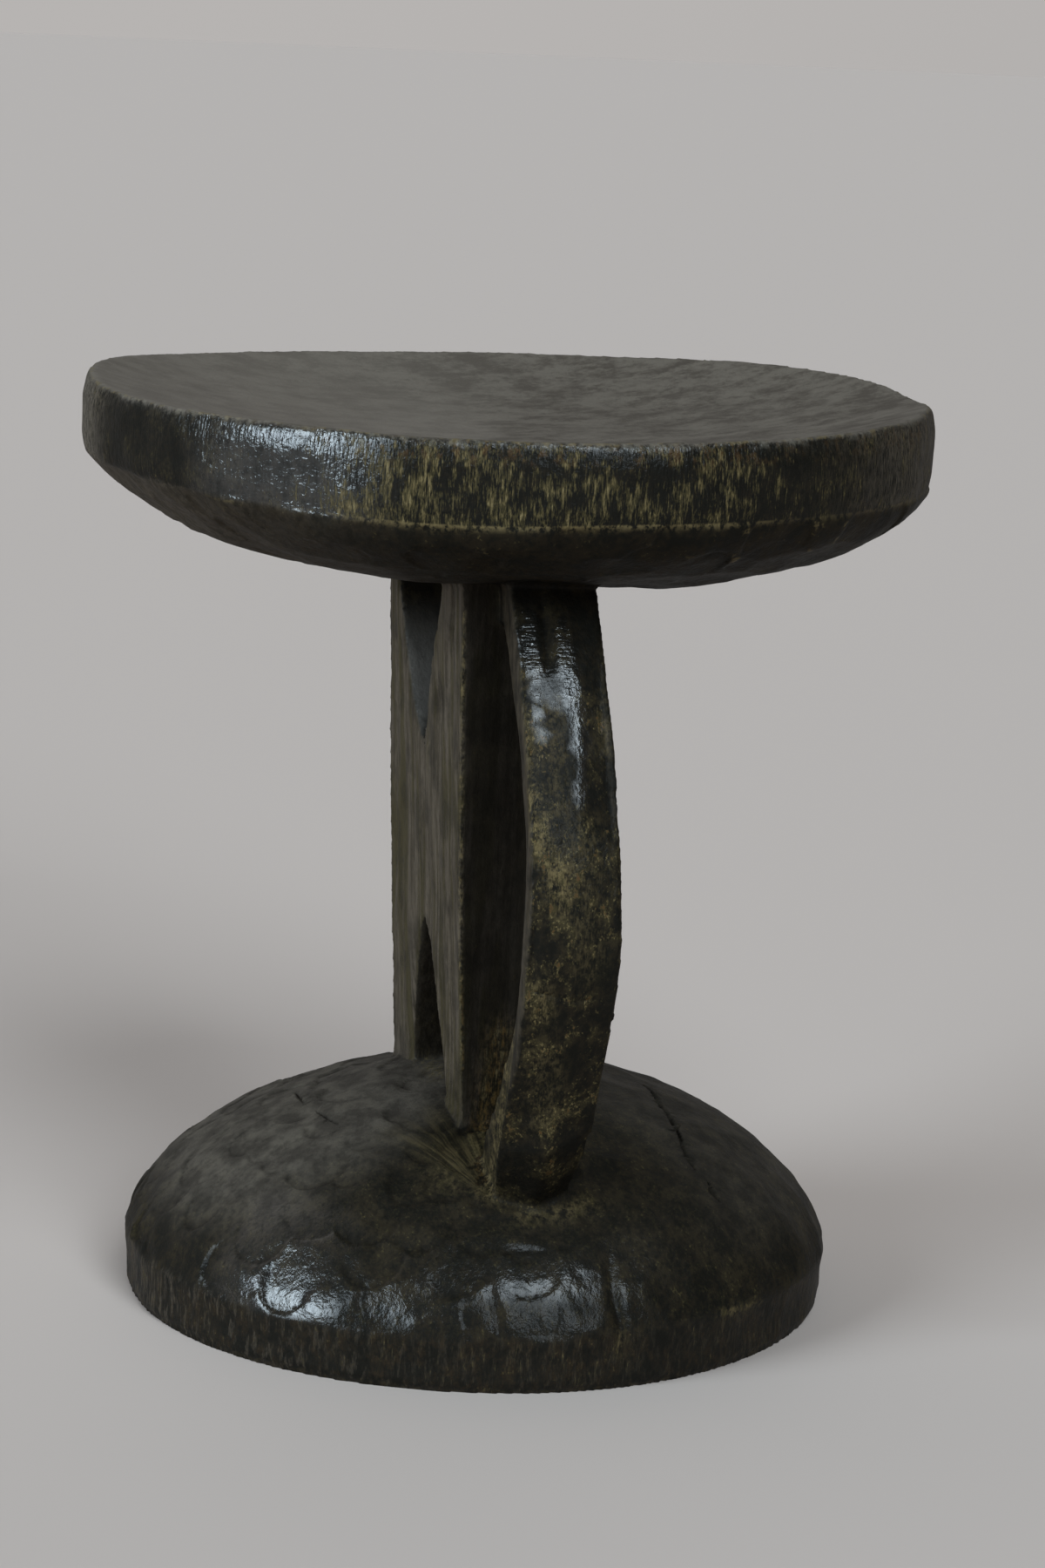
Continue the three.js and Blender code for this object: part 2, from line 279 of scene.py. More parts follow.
def find_rounds(points, normals, leg):
    """How far each point belongs to each part of the seat and the foot, from 0 to 1."""
    z = points[:, 2]
    radius = np.hypot(points[:, 0], points[:, 1])
    up = normals[:, 2]
    rest = 1 - leg
    lower_edge = seat_lower_edge(angle_round(points))
    top = ramp(z, SEAT_EDGE_BOTTOM + 5, SEAT_EDGE_BOTTOM + 9)
    dish = top * ramp(up, 0.55, 0.8)
    above_edge = ramp(z, lower_edge - 1.2, lower_edge + 0.3)
    band = above_edge * ramp(radius, 143, 146) * (1 - dish)
    bowl = ramp(z, 240, 255) * (1 - above_edge) * (1 - dish) * rest
    foot_band = ramp(z, FOOT_EDGE_HEIGHT + 3, FOOT_EDGE_HEIGHT)
    foot_band = foot_band * ramp(radius, 118, 122) * ramp(up, -0.9, -0.6)
    underside = ramp(up, -0.6, -0.9) * ramp(z, 12, 6)
    dome = ramp(z, 160, 140) * rest * (1 - foot_band) * (1 - underside)
    return dict(
        dish=dish, band=band, bowl=bowl, dome=dome, foot_band=foot_band, underside=underside
    )


def find_zones(points, normals):
    """How far each point belongs to each kind of surface, from 0 to 1."""
    x, z = points[:, 0], points[:, 2]
    sideways = np.abs(normals[:, 1])
    near = panel_near_x(z)
    front = bar_front_x(z)
    leg = find_leg(points, normals)
    in_gap = ramp(x, near - 3, near - 1) * ramp(x, front - 5, front - 9)
    in_gap = in_gap * ramp(sideways, 0.8, 0.5)
    in_notch = ramp(x, near - 2, near - 6)
    in_notch = in_notch * ramp(x, PANEL_FAR_X + 1, PANEL_FAR_X + 4)
    in_notch = in_notch * ramp(sideways, 0.75, 0.5)
    return SimpleNamespace(
        **find_rounds(points, normals, leg),
        leg=leg,
        notch=leg * in_notch,
        panel=leg * ramp(x, near + 1.5, near - 0.5) * (1 - in_notch),
        bar=leg * ramp(x, near + 0.5, near + 3),
        gap=leg * np.clip(in_gap, 0, 1),
    )


# Cuts and chips left by the adze


def ring_of_cells(radius, height, slope, count, turn, random, jitter):
    """One ring of cuts round the axis: each one's centre, and its ways across and downhill."""
    cells = []
    for number in range(count):
        angle = 2 * pi * (number + turn + jitter * random.uniform(-1, 1)) / count
        out = np.array([cos(angle), sin(angle), 0.0])
        side = np.array([-sin(angle), cos(angle), 0.0])
        down = out * cos(slope) + np.array([0, 0, -sin(slope)])
        cells.append((out * radius + np.array([0, 0, height]), side, down))
    return cells


def columns_of(cells):
    return [np.array(column) for column in zip(*cells)]


def starts_of(centres, directions):
    return np.einsum("ij,ij->i", centres, directions)


def deepest_dip(points, centres, dips_of):
    """The deepest dip at each point, of the cells that reach it."""
    points = points.astype(np.float32)
    centre_squares = (centres**2).sum(axis=1)
    deepest = np.zeros(len(points), np.float32)
    for start in range(0, len(points), CHUNK):
        part = points[start : start + CHUNK]
        dips = dips_of(part)
        gap_squares = (part**2).sum(axis=1)[:, None] - 2 * part @ centres.T + centre_squares
        dips[gap_squares > CUT_REACH**2] = 0
        deepest[start : start + CHUNK] = np.maximum(dips.max(axis=1), 0)
    return deepest.astype(float)


def cut_depth(points, cells, random, depth, tilt, side_bow, down_bow, lean=(0, 0)):
    """How deep overlapping cuts go at each point: the deepest of their shallow bows."""
    centres, sides, downs = (column.astype(np.float32) for column in columns_of(cells))
    depths = random.uniform(0.55, 1, len(cells)) * depth
    side_tilts = lean[0] + random.uniform(-tilt, tilt, len(cells))
    down_tilts = lean[1] + random.uniform(-tilt, tilt, len(cells))
    bows = random.uniform(0.8, 1.25, len(cells))
    side_starts = starts_of(centres, sides)
    down_starts = starts_of(centres, downs)

    def dips_of(part):
        across = part @ sides.T - side_starts
        along = part @ downs.T - down_starts
        dip = depths + side_tilts * across + down_tilts * along
        return dip - bows * (side_bow * across**2 + down_bow * along**2)

    return deepest_dip(points, centres, dips_of)


def chip_depth(points, cells, random, depth, size, drift):
    """Overlapping chips that deepen along each stroke and end at a crisp curved edge."""
    centres, sides, downs = columns_of(cells)
    centres = centres.astype(np.float32)
    turns = random.uniform(-drift, drift, len(cells))[:, None]
    strokes = (downs * np.cos(turns) + sides * np.sin(turns)).astype(np.float32)
    crossings = (sides * np.cos(turns) - downs * np.sin(turns)).astype(np.float32)
    depths = random.uniform(0.3, 1, len(cells)).astype(np.float32) * depth
    sizes = random.uniform(0.75, 1.3, len(cells)).astype(np.float32) * size
    stroke_starts = starts_of(centres, strokes)
    crossing_starts = starts_of(centres, crossings)

    def dips_of(part):
        along = (part @ strokes.T - stroke_starts) / sizes
        across = (part @ crossings.T - crossing_starts) / (0.8 * sizes)
        end = np.sqrt(np.maximum(1 - across**2, 0))
        before_end = np.clip((end - along) * sizes / CHIP_EDGE, 0, 1)
        return depths * before_end * np.clip(0.5 + 0.5 * along, 0, 1) * np.clip(2.5 * end, 0, 1)

    return deepest_dip(points, centres, dips_of)


def only_where(zone, points, depth_of, *cells_and_random, **shape):
    """Cuts the points that lie in a zone, and fades the cuts with the zone."""
    inside = zone > 0.01
    result = np.zeros(len(points))
    result[inside] = depth_of(points[inside], *cells_and_random, **shape) * zone[inside]
    return result


def round_cells(profile, spacing, random, jitter):
    """Cuts in rings down a profile of (radius, height) points, about spacing apart."""
    cells = []
    for number in range(len(profile) - 1):
        inner, outer = profile[number], profile[number + 1]
        radius = (inner[0] + outer[0]) / 2
        height = (inner[1] + outer[1]) / 2
        count = max(5, round(2 * pi * radius / spacing))
        slope = atan2(inner[1] - outer[1], outer[0] - inner[0])
        cells += ring_of_cells(radius, height, slope, count, random.uniform(0, 1), random, jitter)
    return cells


# (radius, height) down the dome, down the bowl's underside and out over the dish
PROFILES = {
    "dome": (
        (14, 82), (40, 80), (62, 74), (80, 66), (95, 57), (108, 46), (118, 35), (127, 23), (131, 17),
    ),
    "bowl": ((20, 267), (55, 269), (82, 273), (105, 280), (124, 288), (140, 297), (149, 303)),
    "dish": (
        (8, 315), (35, 315), (58, 317), (80, 319), (100, 322), (118, 325), (134, 329), (146, 332),
    ),
}
# The rings of cuts round the upright edges: height, count and turn
BAND_RINGS = ((311, 27, 0.2), (325, 23, 0.6))
FOOT_RINGS = ((10, 24, 0.4),)
# How far apart the rings of cuts and chips lie, and how far those stray from even spacing
CUT_SPACING = {"dome": 28, "bowl": 32, "dish": 30}
CHIP_SPACING = {"dome": (21, 27), "bowl": (24,), "dish": (18,)}
CUT_JITTER = 0.35
CHIP_JITTER = 0.6
# What the random draws start from
ROUNDS_SEED = 41
LEG_SEED = 7
# The cuts on each round: greatest depth, greatest tilt, bow across and down, and common lean
CUT_SHAPES = {
    "dome": dict(depth=1, tilt=0.045, side_bow=0.0044, down_bow=0.0062, lean=(0, -0.02)),
    "bowl": dict(depth=1.2, tilt=0.05, side_bow=0.0036, down_bow=0.0064),
    "dish": dict(depth=0.4, tilt=0.012, side_bow=0.0016, down_bow=0.0045),
    "band": dict(depth=0.8, tilt=0.025, side_bow=0.0032, down_bow=0.0036),
    "foot_band": dict(depth=1, tilt=0.025, side_bow=0.0034, down_bow=0.003),
}
# The chips: greatest depth, size, and how far a stroke turns from straight down, in radians
CHIP_SHAPES = {
    "dome": dict(depth=1.7, size=14, drift=0.9),
    "bowl": dict(depth=1.1, size=13, drift=1.2),
    "dish": dict(depth=0.22, size=12, drift=1.3),
}
LEG_CUT_SHAPE = dict(depth=0.6, tilt=0.02, side_bow=0.0075, down_bow=0.0009)
# Where on the foot the adze left its deepest chips, in degrees round it
MOST_CHIPPED = -85.0


def cut_cells(name, random):
    return round_cells(PROFILES[name], CUT_SPACING[name], random, CUT_JITTER)


def chip_cells(name, random):
    cells = []
    for spacing in CHIP_SPACING[name]:
        cells += round_cells(PROFILES[name], spacing, random, CHIP_JITTER)
    return cells


def edge_cells(radius, rings, random):
    cells = []
    for height, count, turn in rings:
        cells += ring_of_cells(radius, height, pi / 2, count, turn, random, CUT_JITTER)
    return cells


def carve_rounds(points, zones):
    """How deep the adze went on the rounds, at each point."""
    random = np.random.default_rng(ROUNDS_SEED)
    cuts = {"dome": cut_cells("dome", random)}
    dome_chips = chip_cells("dome", random)
    cuts["bowl"] = cut_cells("bowl", random)
    cuts["dish"] = cut_cells("dish", random)
    cuts["band"] = edge_cells(SEAT_RADIUS, BAND_RINGS, random)
    cuts["foot_band"] = edge_cells(FOOT_RADIUS, FOOT_RINGS, random)
    total = np.zeros(len(points))
    for name, cells in cuts.items():
        zone = getattr(zones, name)
        total += only_where(zone, points, cut_depth, cells, random, **CUT_SHAPES[name])
    chipped = zones.dome * ramp(turn_between(angle_round(points), MOST_CHIPPED), 110, 45)
    total += only_where(chipped, points, chip_depth, dome_chips, random, **CHIP_SHAPES["dome"])
    for name in ("bowl", "dish"):
        zone, cells = getattr(zones, name), chip_cells(name, random)
        total += only_where(zone, points, chip_depth, cells, random, **CHIP_SHAPES[name])
    return total


def leg_cells(random):
    cells = []
    across_x, across_y, up = np.eye(3)
    for z in np.arange(66, 275, 27):
        for y in (-17.5, -6, 5.5):
            shift = random.uniform(-2.5, 2.5), random.uniform(-9, 9)
            place = np.array([bar_front_x(z) + 1, y + shift[0], z + shift[1]])
            cells.append((place, across_y, up))
    for z in np.arange(75, 275, 38):
        for x in np.arange(-38, panel_near_x(z), 17):
            shift = random.uniform(-5, 5, 2)
            for y in (panel_left_y(z), PANEL_RIGHT_Y):
                cells.append((np.array([x + shift[0], y, z + 2 * shift[1]]), across_x, up))
    return cells


def carve_leg(points, zones):
    random = np.random.default_rng(LEG_SEED)
    cells = leg_cells(random)
    return only_where(zones.leg, points, cut_depth, cells, random, **LEG_CUT_SHAPE)


# Flat cuts down the bar's front: a point on each, how far it turns to the right and how far up
BAR_FLATS = [
    ((109.8, -14, 228), -4, 25.5),
    ((110.2, -3, 228), -1, 25),
    ((109, 5.6, 226), 17, 23),
    ((110.6, -19.3, 226), -30, 24),
    ((129.6, 5.5, 176), 20, 8),
    ((129, -18, 150), -26, -2),
    ((124.2, 6.8, 120), 17, -17),
]


def carve_flats(points, normals, zones):
    """How deep the bar's flat cuts go, measured along each point's own normal."""
    on_front = zones.bar * ramp(normals[:, 0], 0.25, 0.5)
    deepest = np.zeros(len(points))
    for place, turn, rise in BAR_FLATS:
        turn, rise = radians(turn), radians(rise)
        level = cos(rise)
        facing = np.array([cos(turn) * level, sin(turn) * level, sin(rise)])
        height = (points - np.array(place)) @ facing
        facing_share = np.clip(normals @ facing, 0.5, 1)
        near = ramp(np.abs(points[:, 2] - place[2]), FLAT_REACH, 0.7 * FLAT_REACH)
        deepest = np.maximum(deepest, near * np.clip(height / facing_share, 0, DEEPEST_FLAT))
    return deepest * on_front


# Cracks, grooves and nicks, each a route over the surface

# The panel's groove below the seat, on its left
PANEL_GROOVE = [(50.2, -32.4, 272), (51, -31.7, 262), (52.1, -31.1, 247)]
# Broad marks in the foot's edge, the top of the bar, the panel's left side and the dome: a route,
# half its width, its depth and how sharply it narrows downwards
BROAD_MARKS = [
    ([
        (114, 16.4, 45.2), (119.6, 15.7, 39.8), (126.2, 16, 31),
        (130.2, 17.9, 21.8), (130.2, 20.2, 10), (129, 21, 2),
    ], 4.5, 1.5, 1.5),
    ([
        (117, -27.3, 40), (122.5, -26.9, 33.4), (125.8, -26.3, 28.8), (129.5, -25.5, 19),
    ], 3, 0.9, 1.3),
    ([(107.6, -14.4, 234.6), (108.1, -11.4, 233.8), (108.1, -8.2, 234.6)], 1.3, 0.6, 1),
    ([
        (85.5, -10, 271), (89.7, -10.2, 266), (94.2, -10.4, 259.3),
        (99.2, -10.6, 251.4), (102, -10.8, 247),
    ], 3.4, 1.9, 1.2),
    (PANEL_GROOVE, 3, 2.2, 1.2),
    ([(31.8, -30.2, 231), (31.4, -29.8, 222), (31, -29.4, 214)], 8, 1.4, 1.5),
    ([(111.9, -19.9, 46.5), (112.6, -12, 47), (114.1, -4.3, 46.2)], 2, 0.5, 1),
    ([(115.2, -17.3, 44), (116.1, -10.7, 44)], 2, 0.5, 1),
]
# Narrow drying cracks in the dome, the panel and the bar: a route, half its width and its depth
CRACKS = [
    ([
        (8, 60.7, 74.3), (22, 61.8, 72.8), (36, 61.6, 70.9),
        (52.6, 60.7, 67.4), (66.6, 60.1, 62.7), (71, 61, 60),
    ], 1.1, 2.6),
    ([(76, 64.2, 57), (80, 65.4, 54.6), (84, 66.6, 51.8)], 0.8, 2),
    ([(-32, -65, 68), (-20, -66.5, 69), (-6, -67.5, 69.8), (4, -67.4, 70.1)], 0.8, 2),
    ([(6, -66.4, 70.4), (21.9, -63.9, 70.3), (36, -59.4, 70.3)], 0.8, 2),
    ([(6.4, -29.4, 211), (9.2, -29, 206), (11.8, -28.8, 203)], 0.8, 1.4),
    ([
        (128.7, -22, 142.9), (129.2, -16.8, 142.1), (129.6, -12.8, 140.8),
        (129.6, -6.6, 138.7), (129, 2, 139.4),
    ], 0.8, 1.1),
    ([
        (128.4, -19, 141), (129, -18.6, 135.4), (129.2, -15, 132.6),
        (129.4, -10.6, 134.6), (129.4, -8.6, 138.8),
    ], 0.7, 0.7),
]
CRACK_ROUTES = [route for route, _, _ in CRACKS]
CRACK_POWER = 0.8
# The panel's edge nearest the bar, on its left, where a thin line is rubbed pale
PANEL_NEAR_LEFT = [
    (65.4, -31.6, 262), (62.4, -29.7, 224.6), (58.7, -27.2, 171.8),
    (56.2, -24.7, 126.2), (55, -22.8, 96),
]
# Fibres that fan out of the bar's foot: where they meet in plan, the fan's middle and reach in
# degrees, how long they are, and the highest they lie
FLARES_MEET = (93, -20.8)
FLARES_TOWARDS = -166.0
FLARES_REACH = 27.0
FLARES_LENGTH = 64.0
FLARES_HIGHEST = 84.0


def flare_fan(points):
    """How far each point lies in the fan of fibres at the bar's foot, and on a ridge of it."""
    x, y = points[:, 0] - FLARES_MEET[0], points[:, 1] - FLARES_MEET[1]
    angle = np.degrees(np.arctan2(y, x))
    distance = np.hypot(x, y)
    turn = turn_between(angle, FLARES_TOWARDS)
    fan = ramp(turn, FLARES_REACH, 0.4 * FLARES_REACH)
    fan = fan * ramp(distance, FLARES_LENGTH, 18)
    fan = fan * ramp(points[:, 2], FLARES_HIGHEST, FLARES_HIGHEST - 4)
    fibres = np.stack([angle / 6, distance / 40, np.zeros(len(points))], axis=1)
    return fan, ramp(noise(fibres, (1, 1, 1), 27), -0.1, 0.6)


def groove(points, route, half_width, depth, power):
    """A cut along a route, deepest on it, fading out at both of its ends."""
    distance, along = near_route(points, route)
    ends = np.sin(np.pi * np.clip(along, 0.02, 0.98)) ** 0.5
    return depth * ends * np.clip(1 - distance / (half_width * (0.5 + 0.5 * ends)), 0, 1) ** power


def carve_marks(points):
    """Broad grooves, scoops and nicks, which the remesh is fine enough to hold."""
    return sum(groove(points, *mark) for mark in BROAD_MARKS)


def carve_cracks(points):
    """Narrow drying cracks, cut where the mesh has been made finer."""
    return np.max([groove(points, *crack, CRACK_POWER) for crack in CRACKS], axis=0)


def refine_cracks(obj):
    """Splits the faces round each crack so that it can be cut as thin as it is."""
    for reach in CRACK_SPLITS:
        points = read_points(obj.data)
        near = np.zeros(len(points), bool)
        for route in CRACK_ROUTES + [PANEL_NEAR_LEFT]:
            near |= near_route(points, route)[0] < reach
        shape = bmesh.new()
        shape.from_mesh(obj.data)
        shape.verts.ensure_lookup_table()
        edges = [edge for edge in shape.edges if all(near[vert.index] for vert in edge.verts)]
        bmesh.ops.subdivide_edges(shape, edges=edges, cuts=1)
        bmesh.ops.triangulate(shape, faces=[face for face in shape.faces if len(face.verts) > 3])
        shape.to_mesh(obj.data)
        shape.free()


# The stool itself


def add_object(name, data):
    obj = bpy.data.objects.new(name, data)
    bpy.context.scene.collection.objects.link(obj)
    return obj


def copy_node(name, piece_name):
    """A new object with a copy of a CAD node's mesh, its doubled vertices merged."""
    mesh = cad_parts[name].data.copy()
    mesh.name = piece_name
    shape = bmesh.new()
    shape.from_mesh(mesh)
    bmesh.ops.remove_doubles(shape, verts=shape.verts, dist=1e-6)
    shape.to_mesh(mesh)
    shape.free()
    mesh.materials.clear()
    return add_object(piece_name, mesh)


def carve(obj):
    """Moves each point in along its normal by how deep the cuts, marks and grain go there."""
    mesh = obj.data
    points = read_points(mesh)
    edges = read_edges(mesh)
    points = soften(points, edges, SOFTEN_ROUNDS)
    write_points(mesh, points)
    normals = read_normals(mesh)
    zones = find_zones(points, normals)
    flats = soften(carve_flats(points, normals, zones), edges, 3)
    depth = carve_rounds(points, zones) + carve_leg(points, zones) * ramp(flats, 0.6, 0.1)
    depth += flats + carve_marks(points)
    uneven = UNEVEN_DEPTH * (1 + rough_noise(points, (9, 9, 14), 5))
    fibres = FIBRE_DEPTH * (1 + rough_noise(points, (2.6, 2.6, 9), 11, 2))
    depth += uneven * (1 - zones.underside)
    depth += fibres * (zones.band + zones.foot_band)
    depth -= LEFT_ON * (zones.dome + zones.bowl + zones.leg)
    fan, ridge = flare_fan(points)
    depth -= FLARE_HEIGHT * fan * ridge * zones.dome
    points = points - normals * depth[:, None]
    write_points(mesh, level_underside(points, zones))


def level_underside(points, zones):
    """Hollows the underside a little inside the ring that the stool stands on."""
    radius = np.hypot(points[:, 0], points[:, 1])
    hollow = UNDERSIDE_HOLLOW * ramp(radius, 112, 90)
    hollow = hollow * (1 + 0.6 * rough_noise(points, (22, 22, 22), 31))
    flat = zones.underside > 0.5
    points = points.copy()
    points[flat, 2] = np.maximum(hollow[flat], 0)
    points[:, 2] = np.maximum(points[:, 2], 0)
    return points


def make_stool():
    """A finely remeshed and carved copy of the CAD solid, thinned out, then cracked."""
    obj = copy_node("stool", "carved_stool")
    obj.data.transform(REMESH_TURN)
    with_modifier(obj, "REMESH", mode="VOXEL", voxel_size=FINE_STEP * MM, adaptivity=0)
    obj.data.transform(REMESH_TURN.inverted())
    carve(obj)
    with_modifier(obj, "DECIMATE", ratio=FEWER_FACES, use_collapse_triangulate=True)
    refine_cracks(obj)
    mesh = obj.data
    points = read_points(mesh)
    points = points - read_normals(mesh) * carve_cracks(points)[:, None]
    write_points(mesh, points)
    mesh.polygons.foreach_set("use_smooth", np.ones(len(mesh.polygons), bool))
    return obj


# What the material needs to know at each point

# Places rubbed or split down to paler wood: a route, how far it reaches and how strongly
WORN_PLACES = [
    ([(120.5, -20, 208), (125.2, -18.1, 193.6), (128.2, -12.4, 183.7), (130, -11, 172)], 6, 0.9),
    ([(126, -2, 196), (129.5, -4, 172), (129, 0, 150)], 10, 0.3),
    ([(109, -10, 234), (116, -10, 217), (122, -11, 203)], 7, 0.32),
    ([(101, -20.5, 250), (110, -20.5, 232), (121, -20.5, 205)], 4, 0.36),
    ([(104, 8, 246), (114, 8.5, 222)], 6, 0.28),
    ([(128.4, -17, 141), (129, -15, 134)], 7, 0.6),
    ([(125, -12, 118), (116, -8, 92)], 10, 0.3),
    ([(102, -11.4, 55), (101, 4.4, 55.6), (96, 14, 57)], 5, 0.5),
    ([(56, -9, 108), (56, -11, 92), (58, -14, 76), (70, -17, 69), (84, -18, 64)], 9, 0.9),
    ([(76, -34, 64), (83, -33, 62)], 7, 0.4),
    ([(107, -21, 118), (95, -20, 84), (88, -19, 62)], 10, 0.75),
    ([(-12, -18, 81), (9, -19, 81)], 7, 0.8),
    (PANEL_NEAR_LEFT, 1.5, 0.75),
    ([(116.4, 58.6, 21.5), (111, 68.2, 21.1), (103.6, 78.9, 20)], 2.2, 1),
    ([(129.6, 17.4, 24), (130, 20.5, 6)], 3.2, 0.9),
]
# Strips on the bar's front that hands have polished: a route, how far it reaches and how strongly
POLISHED_STRIPS = [
    ([(88, -15, 262), (95, -15.2, 257), (99.7, -15.4, 249.7)], 5.4, 1),
    ([(99.7, -16, 249.7), (104, -16.2, 242), (108, -15.8, 233.5), (111, -15.6, 227)], 1.7, 0.8),
    ([(88, -4.2, 262), (95, -4.2, 257), (100.3, -4.2, 249.8), (104, -3.6, 243)], 4.2, 1),
    ([(98, -10, 252), (104, -10, 242), (105.5, -9, 239)], 5.6, 0.35),
    ([(104, -3.2, 243), (108, -1.4, 233), (112.4, -0.6, 222)], 4.8, 1),
    ([(112.4, -0.6, 222), (117, -1.6, 214), (120.9, -3, 205)], 2, 0.6),
    ([(106, 3.6, 240), (111, 4.6, 227)], 3, 0.3),
]
# Polished stretches of the foot's slope: degrees round it, half width, strength, lowest and highest
POLISHED_STRETCHES = [
    (-49, 11, 1, 12, 54),
    (-26, 6, 0.35, 20, 50),
    (-5, 10, 0.68, 30, 47),
    (13, 5, 0.5, 30, 51),
]
# The stretch of the seat's edge, in degrees round it, that hands have worn most
MOST_HANDLED = -9.0
HANDLED_REACH = 29.0
# The sides, in degrees round the stool, most polished and greyest, the grey partly dust and partly a
# painted sheen; on the right it is a painted sheen
MOST_POLISHED = -22.0
SEAT_MOST_POLISHED = -45.0
GREYEST = -115.0
SEAT_EDGE_GREYEST = -127.0
SHEEN_RIGHT = 64.0
MARKED_ZONES = ("dish", "band", "foot_band", "bowl", "dome", "panel", "notch", "gap", "underside")


def strongest_route(points, routes, full_share):
    """The strongest of some routes at each point; each is full within that share of its reach."""
    strongest = np.zeros(len(points))
    for route, reach, strength in routes:
        distance, _ = near_route(points, route)
        here = strength * ramp(distance, reach, full_share * reach)
        strongest = np.maximum(strongest, here)
    return strongest


def find_handled(points):
    """Where hands reach for the seat's edge: the front most, other stretches less."""
    angle = angle_round(points)
    front = ramp(turn_between(angle, MOST_HANDLED), HANDLED_REACH + 10, HANDLED_REACH - 10)
    turn = np.radians(angle)
    around = np.stack([np.cos(turn), np.sin(turn), np.zeros(len(points))], axis=1)
    elsewhere = ramp(noise(around, (0.8, 0.8, 0.8), 19), -0.2, 0.6)
    return np.maximum(front, 0.3 * elsewhere)


def find_polish(points, normals, zones):
    """Where hands and feet have left a shine."""
    angle = angle_round(points)
    front = ramp(turn_between(angle, MOST_POLISHED), 68, 42)
    seat_edge = 0.08 * front + 0.92 * ramp(turn_between(angle, SEAT_MOST_POLISHED), 18, 6)
    height = points[:, 2]
    slope = np.zeros(len(points))
    for towards, half_width, strength, low, high in POLISHED_STRETCHES:
        across = ramp(turn_between(angle, towards), half_width + 5, half_width - 4)
        down = ramp(height, low, low + 7) * ramp(height, high + 3, high - 6)
        slope = np.maximum(slope, strength * across * down)
    slope = 0.88 * slope + ramp(height, 57, 46) * (0.02 + 0.08 * front)
    strips = strongest_route(points, POLISHED_STRIPS, 0.65)
    return (
        zones.band * seat_edge
        + 0.5 * find_rim(points, normals) * front
        + zones.bar * ramp(normals[:, 0], 0.6, 0.78) * (0.03 + 0.97 * strips)
        + zones.dome * slope
        + 0.1 * zones.foot_band
        + 0.08 * zones.notch
    )


def find_rim(points, normals):
    """The turn between the dish and the seat's edge."""
    top = ramp(points[:, 2], SEAT_HEIGHT - 9, SEAT_HEIGHT - 6)
    return top * ramp(normals[:, 2], 0.2, 0.45) * ramp(normals[:, 2], 0.93, 0.75)


def find_bends(points, normals, zones, edges):
    """How far each point lies on a sharp edge, and how far in a hollow or a crease, where shade is
    painted.
    """
    near = ((points - soften(points, edges, 3)) * normals).sum(axis=1)
    wide = ((points - soften(points, edges, 14)) * normals).sum(axis=1)
    kept = (1 - 0.75 * zones.leg) * (1 - 0.7 * zones.dome) * (1 - 0.5 * zones.foot_band)
    crack_distance = np.min([near_route(points, route)[0] for route in CRACK_ROUTES], axis=0)
    kept = kept * ramp(crack_distance, 2.5, 5)
    # Steps between the dome's chips, darkened later as painted shade like the hollows
    creases = 0.55 * ramp(-near, 0.03, 0.22) * zones.dome
    edge = ramp(soften(near, edges, 1), 0.05, 0.32) * kept
    return edge, np.maximum(ramp(-wide, 0.15, 1.3), creases)


def find_dust_and_sheen(points, zones):
    """How far the wood is greyed, partly by dust and partly as a painted sheen of light, with a
    painted sheen on the right; the dome and the seat's edge differ.
    """
    angle = angle_round(points)
    # A painted sheen on the right side, as of a bright wall's reflection
    right = ramp(turn_between(angle, SHEEN_RIGHT), 42, 14)
    seat_edge = ramp(turn_between(angle, SEAT_EDGE_GREYEST), 50, 34)
    seat_edge = np.maximum(seat_edge, 0.5 * right)
    away = turn_between(angle, GREYEST)
    greyed = ramp(away, 98, 38)
    dome_reach = 44 + 0.75 * np.clip(points[:, 2] - 30, 0, 45)
    dome = ramp(away, dome_reach + 14, dome_reach - 18)
    greyed = greyed + zones.dome * (dome - greyed)
    greyed = greyed + zones.band * (seat_edge - greyed)
    return np.maximum(greyed, 0.3 * zones.dome * right)


def mark_surfaces(obj):
    """Stores on the mesh what the material reads at each point, and gives the marks' names."""
    mesh = obj.data
    points, normals, edges = read_points(mesh), read_normals(mesh), read_edges(mesh)
    angle = angle_round(points)
    lower_edge = seat_lower_edge(angle)
    zones = find_zones(points, soften(normals, edges, 3))
    edge, hollow = find_bends(points, normals, zones, edges)
    fan, ridge = flare_fan(points)
    # Where the rim's pale line, partly wear and partly a painted highlight, is strongest
    rim_wear_and_highlight = 0.3 + 0.7 * ramp(turn_between(angle, MOST_POLISHED), 75, 40)
    bar_front = zones.bar * ramp(normals[:, 0], 0.5, 0.8)
    panel_groove = groove(points, PANEL_GROOVE, 2.6, 1, 1)
    marks = {name: soften(getattr(zones, name), edges, 1) for name in MARKED_ZONES} | {
        "edge": edge,
        "hollow": hollow,
        "worn": soften(strongest_route(points, WORN_PLACES, 0.15), edges, 1),
        "flare": fan * (0.45 + 0.55 * ridge) * zones.dome,
        "polish": find_polish(points, normals, zones),
        "handled": find_handled(points),
        "seat_share": (points[:, 2] - lower_edge) / (SEAT_HEIGHT - lower_edge),
        "bar_front": soften(bar_front, edges, 1),
        "bar_side": zones.bar * ramp(np.abs(normals[:, 1]), 0.6, 0.85),
        "greyed": find_dust_and_sheen(points, zones),
        "rim": find_rim(points, normals) * rim_wear_and_highlight,
        "crack": np.maximum(ramp(carve_cracks(points), 0.1, 0.6), 0.9 * panel_groove),
    }
    for name, values in marks.items():
        stored = mesh.attributes.new(name, "FLOAT", "POINT")
        stored.data.foreach_set("value", np.clip(values, 0, 1).astype(np.float32))
    return list(marks)


# Short calls that build nodes and give back the socket of what they work out

